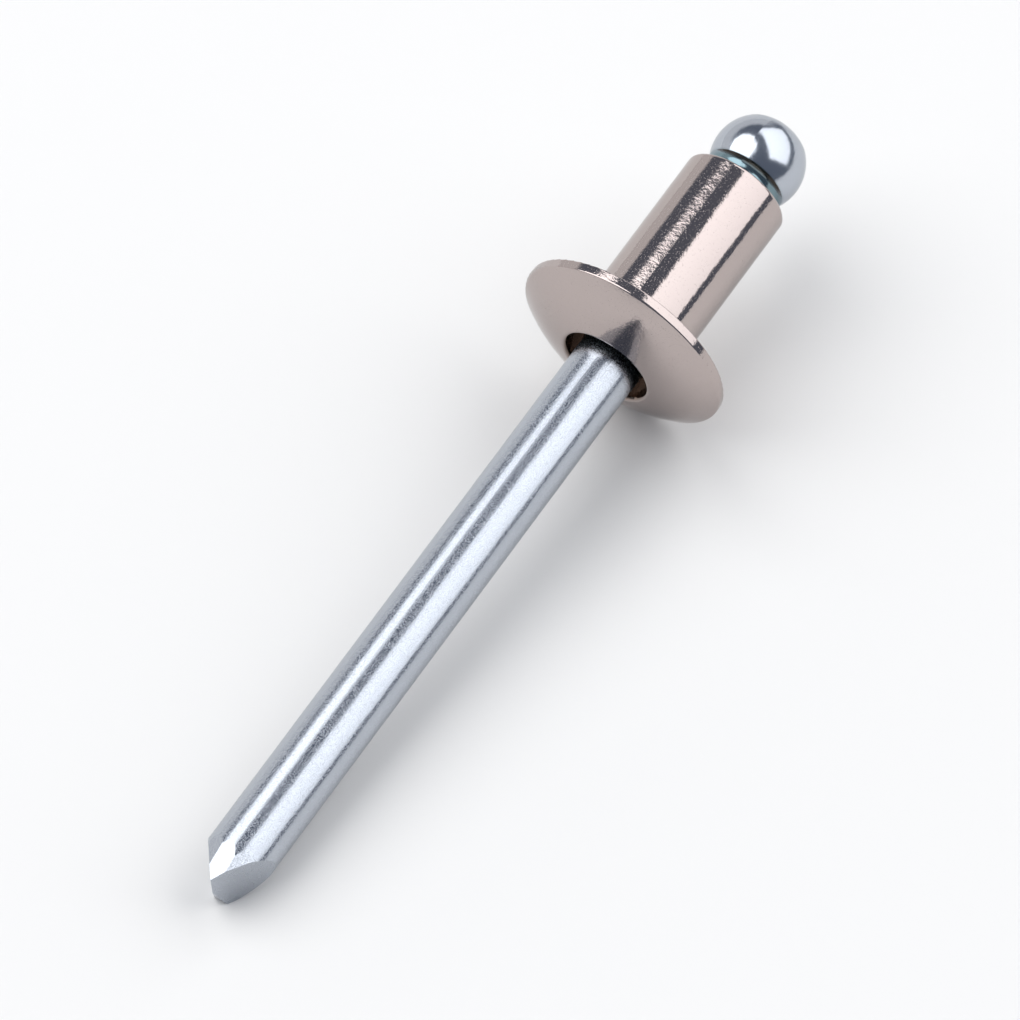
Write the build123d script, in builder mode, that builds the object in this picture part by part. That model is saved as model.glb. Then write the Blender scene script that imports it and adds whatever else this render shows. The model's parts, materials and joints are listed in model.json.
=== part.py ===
from build123d import *
import os
from math import asin, atan2, cos, degrees, hypot, radians, sin, sqrt, tan

# Hollow body: sizes in millimetres, lengths taken from the flange's seat along the rivet's axis
shank_diameter = 4.8
shank_length = 8.5
shank_end_round = 0.15
flange_diameter = 9.74
flange_height = 1.69
rim_thickness = 0.335
rim_round = 0.14
seat_edge_round = 0.07
counterbore_diameter = 4.0
counterbore_depth = 0.75
mouth_round = 0.15
body_seam_direction = 2.57

# Mandrel: a ball head on a flared neck, a wire stem and a pinched tip
stem_diameter = 2.95
stem_clearance = 0.05
stem_reach = 29.44
seat_depth = 0.1
seat_slope = 20
neck_length = 0.74
neck_flare_angle = 70
crease_diameter = 3.68
head_diameter = 4.13
shoulder_diameter = 2.94
shoulder_round = 1.0
crown_radius = 2.4

# Break notch: flats coined into the stem, hidden inside the shank
notch_count = 4
notch_depth = 0.35
notch_angle = 90
notch_below_seat = 1.6

# Pinched tip: each flat is placed by its direction round the stem from straight up, by its slope to
# the stem's axis and by how far back from the tip it leaves the stem's surface
tip_flats = {
    "near_pinch": (91, 30, 2.57),
    "far_pinch": (-89, 37.5, 2.06),
    "heel": (180, 72, 0.6),
    "crown": (-4, 8, 1.95),
    "near_bevel": (28, 5, 1.95),
    "far_bevel": (-32, 8, 2.05),
}
sole_length = 1.6

# Radii and places along the axis that follow from those sizes
shank_radius = shank_diameter / 2
flange_radius = flange_diameter / 2
counterbore_radius = counterbore_diameter / 2
stem_radius = stem_diameter / 2
head_radius = head_diameter / 2
crease_radius = crease_diameter / 2
shoulder_radius = shoulder_diameter / 2
bore_radius = stem_radius + stem_clearance
floor_x = counterbore_depth - flange_height
dome_rise = flange_height - rim_thickness
dome_middle_x = -(flange_height + rim_thickness) / 2
dome_centre_x = dome_middle_x + (flange_radius**2 - counterbore_radius**2) / (2 * dome_rise)
dome_radius = hypot(dome_centre_x + rim_thickness, flange_radius)
tip_x = -flange_height - stem_reach
neck_radius = bore_radius + seat_depth * tan(radians(seat_slope))
seat_foot_x = shank_length - (neck_radius - stem_radius) / tan(radians(seat_slope))
crease_x = shank_length + neck_length
flare_radius = (crease_radius - neck_radius) / (1 - cos(radians(neck_flare_angle)))
flare_foot_x = crease_x - flare_radius * sin(radians(neck_flare_angle))
head_centre_x = crease_x + sqrt(head_radius**2 - crease_radius**2)
shoulder_x = head_centre_x + sqrt(head_radius**2 - shoulder_radius**2)
crown_centre_x = shoulder_x - sqrt(crown_radius**2 - shoulder_radius**2)
head_top_x = crown_centre_x + crown_radius
notch_x = shank_length - seat_depth - notch_below_seat
notch_half_mouth = 2 * notch_depth * tan(radians(notch_angle / 2))
sole_x = tip_x + sole_length

# Rest on a flat surface: the flange's rounded rim and the sole, a flat under the tip, touch it together
rim_centre_y = flange_radius - rim_round
rim_centre_x = dome_centre_x - sqrt((dome_radius - rim_round) ** 2 - rim_centre_y**2)
reach = rim_centre_x - sole_x
drop = rim_centre_y - stem_radius
rest_tilt = asin(rim_round / hypot(reach, drop)) + atan2(drop, reach)
tip_flats["sole"] = (180, degrees(rest_tilt), sole_length)
rim_low = rim_centre_y * cos(rest_tilt) - rim_centre_x * sin(rest_tilt) + rim_round
far_end_x = crown_centre_x * cos(rest_tilt) + crown_radius
near_end_x = tip_x * cos(rest_tilt) - stem_radius * sin(rest_tilt)
rest_origin = (-(far_end_x + near_end_x) / 2, 0, rim_low)
rest_direction = (cos(rest_tilt), 0, sin(rest_tilt))

# The rivet's own plane: x along the axis towards the head, y straight up from the axis at rest
rivet_plane = Plane(origin=rest_origin, x_dir=rest_direction, z_dir=(0, -1, 0))
rivet_axis = Axis(rest_origin, rest_direction)


def facing(direction):
    """The rivet's plane turned about the axis until its y points in a direction from straight up."""
    return Plane(rivet_plane.location * Rotation(direction, 0, 0))


def tip_flat(direction, slope_angle, length):
    """The plane of one flat, facing away from the stem."""
    side = facing(direction)
    lean = radians(slope_angle)
    edge = side.from_local_coords((tip_x + length, stem_radius, 0))
    return Plane(origin=edge, z_dir=side.y_dir * cos(lean) - side.x_dir * sin(lean))


def corner(sketch, x, y):
    """The corner of a profile that lies nearest a place on the rivet's plane."""
    return sketch.vertices().sort_by_distance((x, y, 0))[0]


# Hollow body, turned from one profile. Its seam lies just off the top, so the rim rests between two
# of the corners that its circles get when they are drawn as polygons
with BuildPart() as rivet_body:
    with BuildSketch(facing(body_seam_direction)) as body_profile:
        with BuildLine():
            RadiusArc((-rim_thickness, flange_radius), (-flange_height, counterbore_radius), -dome_radius)
            Polyline(
                (-flange_height, counterbore_radius),
                (floor_x, counterbore_radius),
                (floor_x, bore_radius),
                (shank_length - seat_depth, bore_radius),
                (shank_length, neck_radius),
                (shank_length, shank_radius),
                (0, shank_radius),
                (0, flange_radius),
                (-rim_thickness, flange_radius),
            )
        make_face()
        fillet(corner(body_profile, -rim_thickness, flange_radius), rim_round)
        fillet(corner(body_profile, 0, flange_radius), seat_edge_round)
        fillet(corner(body_profile, shank_length, shank_radius), shank_end_round)
        fillet(corner(body_profile, -flange_height, counterbore_radius), mouth_round)
    revolve(axis=rivet_axis)

# Mandrel, turned from one profile, then coined at the notch and pinched at the tip
with BuildPart() as mandrel:
    with BuildSketch(rivet_plane) as mandrel_profile:
        with BuildLine():
            Polyline(
                (head_top_x, 0),
                (tip_x, 0),
                (tip_x, stem_radius),
                (seat_foot_x, stem_radius),
                (shank_length, neck_radius),
                (flare_foot_x, neck_radius),
            )
            RadiusArc((flare_foot_x, neck_radius), (crease_x, crease_radius), -flare_radius)
            RadiusArc((crease_x, crease_radius), (shoulder_x, shoulder_radius), head_radius)
            RadiusArc((shoulder_x, shoulder_radius), (head_top_x, 0), crown_radius)
        make_face()
        fillet(corner(mandrel_profile, shoulder_x, shoulder_radius), shoulder_round)
    revolve(axis=rivet_axis)

    for turn in range(notch_count):
        with BuildSketch(facing(turn * 360 / notch_count)):
            Polygon(
                (notch_x, stem_radius - notch_depth),
                (notch_x + notch_half_mouth, stem_radius + notch_depth),
                (notch_x - notch_half_mouth, stem_radius + notch_depth),
            )
        extrude(amount=stem_radius, both=True, mode=Mode.SUBTRACT)

    for direction, slope_angle, length in tip_flats.values():
        split(bisect_by=tip_flat(direction, slope_angle, length), keep=Keep.BOTTOM)

rivet_body.part.label = "rivet_body"
mandrel.part.label = "mandrel"

os.makedirs("parts", exist_ok=True)
export_step(rivet_body.part, "parts/rivet_body.step")
export_step(mandrel.part, "parts/mandrel.step")
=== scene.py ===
"""Dresses the blind rivet: bright plating on its body and mandrel, a pale floor, soft lamps and a camera."""
import json
import math

import bpy
from mathutils import Matrix, Vector

MM = 0.001

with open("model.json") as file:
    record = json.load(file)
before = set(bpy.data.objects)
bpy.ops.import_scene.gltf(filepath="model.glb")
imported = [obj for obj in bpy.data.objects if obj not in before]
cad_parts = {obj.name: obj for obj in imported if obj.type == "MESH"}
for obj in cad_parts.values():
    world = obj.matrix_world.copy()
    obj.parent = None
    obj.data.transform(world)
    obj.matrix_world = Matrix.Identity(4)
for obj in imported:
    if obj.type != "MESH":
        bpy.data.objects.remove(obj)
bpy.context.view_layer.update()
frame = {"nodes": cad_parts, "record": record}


def mount(name):
    """One of the record's mounts, by its name."""
    return next(entry for entry in frame["record"]["mounts"] if entry["name"] == name)


# The rivet's own line: x runs along it from the flange's seat towards the ball head
AXIS = Vector(mount("shank")["axis"]).normalized()
ON_AXIS = Vector(mount("shank")["pos_m"])
SEAT = ON_AXIS + AXIS * (Vector(mount("flange_seat")["pos_m"]) - ON_AXIS).dot(AXIS)
AXIS_TURN = AXIS.to_track_quat("X", "Z").to_euler()

# Camera, fitted to the photograph: the direction it looks from in degrees, its place, the distance at which
# the photograph has this many pixels to the millimetre, and the widths of photograph and sensor
CAMERA_AZIMUTH = -146.474
CAMERA_ELEVATION = 53.715
CAMERA_PLACE = Vector((-221.225, -147.02, 365.314)) * MM
CAMERA_DISTANCE = 450 * MM
PIXELS_PER_MM = 23.99
PHOTO_SIDE = 1020
SENSOR = 36
CLIP_START = 10 * MM

# Lamps, an oblong soft box and a round one, both at this distance in metres: direction from the rivet and
# roll in degrees, size in degrees as the rivet sees it, brightness at the lower and at the upper edge
LAMP_DISTANCE = 0.9
KEY = {"azimuth": -34, "elevation": 40.2, "roll": -4, "width": 76, "height": 56, "levels": (1.6, 2.0)}
TOP = {"azimuth": 109.4, "elevation": 56.7, "roll": 0, "width": 61, "height": 61, "levels": (1.95, 1.95)}

# Room: dim, with a pale wall on the +Y side. For a direction of length 1, the wall fades out as its Z goes
# through the first range, and fades in as its Y goes through the second
ROOM_COLOR = (0.15, 0.17, 0.215)
WALL_COLOR = (0.82, 0.82, 0.83)
WALL_TOP = (0.45, 0.35)
WALL_SIDE = (0.1, 0.4)

# Floor: its side in metres and its matt finish
FLOOR_SIZE = 6
FLOOR_COLOR = (0.86, 0.85, 0.83)
FLOOR_ROUGHNESS = 0.9

# Plating: colours in the open and of its painted shade, and the tint of all glancing reflections
BODY_COLOR = (0.47, 0.405, 0.387)
HOLLOW_SHADE_COLOR = (0.17, 0.125, 0.1)
WIRE_COLOR = (0.475, 0.505, 0.555)
SHADE_COLOR = (0.19, 0.27, 0.3)
EDGE_TINT = (0.85, 0.85, 0.85)

# Painted shade zones, each with its start and end in millimetres: the body's counterbore by its distance from
# the axis, and along the axis the mandrel's stretch from just outside the dome to just under the ball head
HOLLOW_SHADE_EDGE = (2.14, 1.99)
SHADE_START = (-2.0, -1.2)
SHADE_END = (9.35, 9.1)

# Rim of the flange: where its band starts after the dome and ends before the seat, in millimetres along the
# axis, and how far upwards it has to face, as the upward part of its direction
BAND_START = (-0.43, -0.35)
BAND_END = (-0.01, -0.07)
BAND_UPWARD = (0.05, 0.4)

# Crown of the ball head, in millimetres: the centre of its curve along the axis, the stretch of the axis over
# which the evened direction comes in, and the distances from the axis over which it fades out
CROWN_CENTRE = 9.73
CROWN_START = (8, 11)
CROWN_EDGE = (0.9, 0.5)

# Dull specks in the bright plating: the roughness between them, what a full speck adds to it, the size of
# the noise along and across the axis in millimetres, and the range of the noise over which a speck comes up.
# The mandrel's are weaker on its head, and gain strength over a stretch of the axis
BODY_ROUGHNESS = 0.06
BODY_DULLNESS = 0.4
BODY_SPECKS = {"along": 0.05, "across": 0.05, "low": 0.62, "high": 0.7}
WIRE_ROUGHNESS = 0.11
HEAD_DULLNESS = 0.16
WIRE_DULLNESS = 0.38
WIRE_SPECKS = {"along": 0.05, "across": 0.032, "low": 0.35, "high": 0.75}
HEAD_TO_WIRE = (8, 0)

# Relief of the plating, from coarse to fine: the size of the noise along and across the axis and its height
# in millimetres, and how many finer octaves it has
BODY_RELIEF = (
    {"along": 0.5, "across": 0.5, "height": 0.004, "detail": 2},
    {"along": 0.14, "across": 0.14, "height": 0.003, "detail": 2},
    {"along": 0.06, "across": 0.06, "height": 0.0013, "detail": 2},
)
WIRE_RELIEF = (
    {"along": 1.2, "across": 0.16, "height": 0.004, "detail": 3},
    {"along": 0.12, "across": 0.08, "height": 0.002, "detail": 2},
)

# Places of a mix node's two inputs and its output for each type of data, because their names are the same
MIX_SOCKETS = {"VECTOR": (4, 5, 1), "RGBA": (6, 7, 2)}


def node(tree, kind, **values):
    """A shader node with its settings and unlinked inputs."""
    made = tree.nodes.new(kind)
    for name, value in values.items():
        if name in made.inputs:
            made.inputs[name].default_value = value
        else:
            setattr(made, name, value)
    return made


def feed(tree, value, socket):
    """Links a socket to an input, or sets the input to a plain value."""
    if isinstance(value, bpy.types.NodeSocket):
        tree.links.new(value, socket)
    else:
        socket.default_value = value


def math_node(tree, operation, *values):
    """The result of a math node whose inputs are sockets or numbers."""
    made = node(tree, "ShaderNodeMath", operation=operation)
    for socket, value in zip(made.inputs, values):
        feed(tree, value, socket)
    return made.outputs[0]


def vector_math(tree, operation, *values):
    """The vector from a vector node whose inputs are sockets or vectors."""
    made = node(tree, "ShaderNodeVectorMath", operation=operation)
    for socket, value in zip(made.inputs, values):
        feed(tree, value, socket)
    return made.outputs["Vector"]


def mix(tree, data_type, amount, first, second):
    """The first of two colours or vectors, which goes over into the second as an amount rises from 0 to 1."""
    made = node(tree, "ShaderNodeMix", data_type=data_type)
    first_input, second_input, output = MIX_SOCKETS[data_type]
    tree.links.new(amount, made.inputs[0])
    feed(tree, first, made.inputs[first_input])
    feed(tree, second, made.inputs[second_input])
    return made.outputs[output]


def part_of(tree, vector, letter):
    """One of a vector's three numbers."""
    made = node(tree, "ShaderNodeSeparateXYZ")
    tree.links.new(vector, made.inputs[0])
    return made.outputs[letter]


def smooth_step(tree, value, start, end):
    """A number that rises smoothly from 0 to 1 while a value goes up or down from a start to an end."""
    made = node(tree, "ShaderNodeMapRange", interpolation_type="SMOOTHSTEP")
    made.inputs["From Min"].default_value = start
    made.inputs["From Max"].default_value = end
    tree.links.new(value, made.inputs["Value"])
    return made.outputs["Result"]


def direction(azimuth, elevation):
    """The unit vector from the rivet in a direction given in degrees."""
    turn, rise = math.radians(azimuth), math.radians(elevation)
    return Vector((math.cos(rise) * math.cos(turn), math.cos(rise) * math.sin(turn), math.sin(rise)))


def add_camera():
    """The photograph's viewpoint."""
    data = bpy.data.cameras.new("camera")
    data.sensor_width = SENSOR
    data.lens = PIXELS_PER_MM * CAMERA_DISTANCE / MM * SENSOR / PHOTO_SIDE
    data.clip_start = CLIP_START
    camera = bpy.data.objects.new("camera", data)
    back = direction(CAMERA_AZIMUTH, CAMERA_ELEVATION)
    right = Vector((0, 0, 1)).cross(back).normalized()
    up = back.cross(right)
    turn = Matrix((right, up, back)).transposed().to_4x4()
    camera.matrix_world = Matrix.Translation(CAMERA_PLACE) @ turn
    bpy.context.scene.collection.objects.link(camera)
    bpy.context.scene.camera = camera


def add_lamp(name, shape, azimuth, elevation, roll, width, height, levels):
    """A soft box that faces the rivet, with a brightness that changes from its lower to its upper edge."""
    away = direction(azimuth, elevation)
    data = bpy.data.lights.new(name, "AREA")
    data.shape = shape
    data.size = 2 * LAMP_DISTANCE * math.tan(math.radians(width / 2))
    data.size_y = 2 * LAMP_DISTANCE * math.tan(math.radians(height / 2))
    data.energy = math.pi * data.size * data.size_y
    data.use_nodes = True
    tree = data.node_tree
    up_the_box = part_of(tree, node(tree, "ShaderNodeNewGeometry").outputs["Parametric"], "Y")
    level = node(tree, "ShaderNodeMapRange")
    level.inputs["To Min"].default_value, level.inputs["To Max"].default_value = levels
    tree.links.new(up_the_box, level.inputs["Value"])
    tree.links.new(level.outputs["Result"], tree.nodes["Emission"].inputs["Strength"])
    lamp = bpy.data.objects.new(name, data)
    lamp.location = away * LAMP_DISTANCE
    facing = away.to_track_quat("Z", "Y").to_matrix() @ Matrix.Rotation(math.radians(roll), 3, "Z")
    lamp.rotation_euler = facing.to_euler()
    bpy.context.scene.collection.objects.link(lamp)


def add_world():
    """The dim room beyond the soft boxes, with its pale wall on one side."""
    world = bpy.data.worlds.new("room")
    world.use_nodes = True
    tree = world.node_tree
    way = node(tree, "ShaderNodeTexCoord").outputs["Generated"]
    below_top = smooth_step(tree, part_of(tree, way, "Z"), *WALL_TOP)
    on_its_side = smooth_step(tree, part_of(tree, way, "Y"), *WALL_SIDE)
    wall = math_node(tree, "MULTIPLY", below_top, on_its_side)
    color = mix(tree, "RGBA", wall, (*ROOM_COLOR, 1), (*WALL_COLOR, 1))
    tree.links.new(color, tree.nodes["Background"].inputs["Color"])
    bpy.context.scene.world = world


def add_floor():
    """A plain pale floor."""
    bpy.ops.mesh.primitive_plane_add(size=FLOOR_SIZE)
    floor = bpy.context.object
    floor.name = "floor"
    material = bpy.data.materials.new("floor")
    material.use_nodes = True
    shader = material.node_tree.nodes["Principled BSDF"]
    shader.inputs["Base Color"].default_value = (*FLOOR_COLOR, 1)
    shader.inputs["Roughness"].default_value = FLOOR_ROUGHNESS
    shader.inputs["Specular IOR Level"].default_value = 0
    floor.data.materials.append(material)


def rivet_place(tree):
    """The place on the rivet in millimetres: x along its axis from the flange's seat, y and z across it."""
    place = node(tree, "ShaderNodeTexCoord")
    turned = node(tree, "ShaderNodeMapping", vector_type="TEXTURE")
    turned.inputs["Location"].default_value = SEAT
    turned.inputs["Rotation"].default_value = AXIS_TURN
    turned.inputs["Scale"].default_value = (MM, MM, MM)
    tree.links.new(place.outputs["Object"], turned.inputs["Vector"])
    return turned.outputs["Vector"]


def distance_from_axis(tree, place):
    """How far a place is from the rivet's axis, in millimetres."""
    length = node(tree, "ShaderNodeVectorMath", operation="LENGTH")
    tree.links.new(vector_math(tree, "MULTIPLY", place, (0, 1, 1)), length.inputs[0])
    return length.outputs["Value"]


def from_axis_point(tree, x):
    """The vector to the surface from a point of the rivet's axis, x millimetres from the flange's seat."""
    here = node(tree, "ShaderNodeTexCoord").outputs["Object"]
    return vector_math(tree, "SUBTRACT", here, SEAT + AXIS * x * MM)


def noise(tree, place, along, across, detail=2):
    """Noise in cells of a size along and across the rivet's axis."""
    made = node(tree, "ShaderNodeTexNoise", Scale=1, Detail=detail)
    tree.links.new(vector_math(tree, "DIVIDE", place, (along, across, across)), made.inputs["Vector"])
    return made.outputs["Fac"]


def specks(tree, place, along, across, low, high):
    """A number that rises from 0 to 1 in scattered specks."""
    return smooth_step(tree, noise(tree, place, along, across), low, high)


def relief(tree, place, layers, below):
    """The surface's direction with layers of relief laid over it, one on the other."""
    for layer in layers:
        made = node(tree, "ShaderNodeBump", Strength=1, Distance=layer["height"] * MM)
        height = noise(tree, place, layer["along"], layer["across"], layer["detail"])
        tree.links.new(height, made.inputs["Height"])
        tree.links.new(below, made.inputs["Normal"])
        below = made.outputs["Normal"]
    return below


def turned_normal(tree, towards, amount):
    """The surface's direction, turned to another one where an amount rises from 0 to 1."""
    other = node(
        tree, "ShaderNodeVectorTransform", vector_type="NORMAL", convert_from="OBJECT", convert_to="WORLD"
    )
    tree.links.new(towards, other.inputs[0])
    own = node(tree, "ShaderNodeNewGeometry").outputs["Normal"]
    mixed = mix(tree, "VECTOR", amount, own, vector_math(tree, "NORMALIZE", other.outputs[0]))
    return vector_math(tree, "NORMALIZE", mixed)


def band_normal(tree, place):
    """The direction of the flange's rim, straight outwards, so that its upper side shines as a flat band."""
    along = part_of(tree, place, "X")
    from_seat = from_axis_point(tree, 0)
    outward = vector_math(tree, "SUBTRACT", from_seat, vector_math(tree, "PROJECT", from_seat, AXIS))
    upward = smooth_step(tree, part_of(tree, vector_math(tree, "NORMALIZE", outward), "Z"), *BAND_UPWARD)
    after_dome = smooth_step(tree, along, *BAND_START)
    before_seat = smooth_step(tree, along, *BAND_END)
    on_band = math_node(tree, "MULTIPLY", after_dome, before_seat)
    return turned_normal(tree, outward, math_node(tree, "MULTIPLY", on_band, upward))


def crown_normal(tree, place):
    """The direction of the middle of the head's crown, as that of a true ball."""
    on_head = smooth_step(tree, part_of(tree, place, "X"), *CROWN_START)
    near_axis = smooth_step(tree, distance_from_axis(tree, place), *CROWN_EDGE)
    on_crown = math_node(tree, "MULTIPLY", on_head, near_axis)
    return turned_normal(tree, from_axis_point(tree, CROWN_CENTRE), on_crown)


def metal(name):
    """A bright metal: its material, tree and shader."""
    material = bpy.data.materials.new(name)
    material.use_nodes = True
    tree = material.node_tree
    shader = tree.nodes["Principled BSDF"]
    shader.inputs["Metallic"].default_value = 1
    shader.inputs["Specular Tint"].default_value = (*EDGE_TINT, 1)
    return material, tree, shader


def body_plating():
    """Warm plating with an orange-peel skin and fine grit, and painted shade inside the counterbore."""
    material, tree, shader = metal("body_plating")
    place = rivet_place(tree)
    # Painted shade: the plating turns dark near the axis, inside the counterbore
    inside = smooth_step(tree, distance_from_axis(tree, place), *HOLLOW_SHADE_EDGE)
    color = mix(tree, "RGBA", inside, (*BODY_COLOR, 1), (*HOLLOW_SHADE_COLOR, 1))
    speck = specks(tree, place, **BODY_SPECKS)
    roughness = math_node(tree, "MULTIPLY_ADD", speck, BODY_DULLNESS, BODY_ROUGHNESS)
    tree.links.new(color, shader.inputs["Base Color"])
    tree.links.new(roughness, shader.inputs["Roughness"])
    tree.links.new(relief(tree, place, BODY_RELIEF, band_normal(tree, place)), shader.inputs["Normal"])
    return material


def mandrel_plating():
    """Cool plating on drawn wire, with dull specks, and painted shade from where it enters the body to under
    the ball head.
    """
    material, tree, shader = metal("mandrel_plating")
    place = rivet_place(tree)
    along = part_of(tree, place, "X")
    # Painted shade: the mandrel turns dark from just outside the dome to just under the ball head
    past_dome = smooth_step(tree, along, *SHADE_START)
    before_head = smooth_step(tree, along, *SHADE_END)
    shade = math_node(tree, "MULTIPLY", past_dome, before_head)
    color = mix(tree, "RGBA", shade, (*WIRE_COLOR, 1), (*SHADE_COLOR, 1))
    on_wire = smooth_step(tree, along, *HEAD_TO_WIRE)
    dullness = math_node(tree, "MULTIPLY_ADD", on_wire, WIRE_DULLNESS - HEAD_DULLNESS, HEAD_DULLNESS)
    speck = specks(tree, place, **WIRE_SPECKS)
    roughness = math_node(tree, "MULTIPLY_ADD", speck, dullness, WIRE_ROUGHNESS)
    tree.links.new(color, shader.inputs["Base Color"])
    tree.links.new(roughness, shader.inputs["Roughness"])
    tree.links.new(relief(tree, place, WIRE_RELIEF, crown_normal(tree, place)), shader.inputs["Normal"])
    return material


add_camera()
add_world()
add_floor()
add_lamp("key", "RECTANGLE", **KEY)
add_lamp("top", "ELLIPSE", **TOP)

frame["nodes"]["rivet_body"].material_slots[0].material = body_plating()
frame["nodes"]["mandrel"].material_slots[0].material = mandrel_plating()

bpy.context.scene.view_settings.view_transform = "Standard"
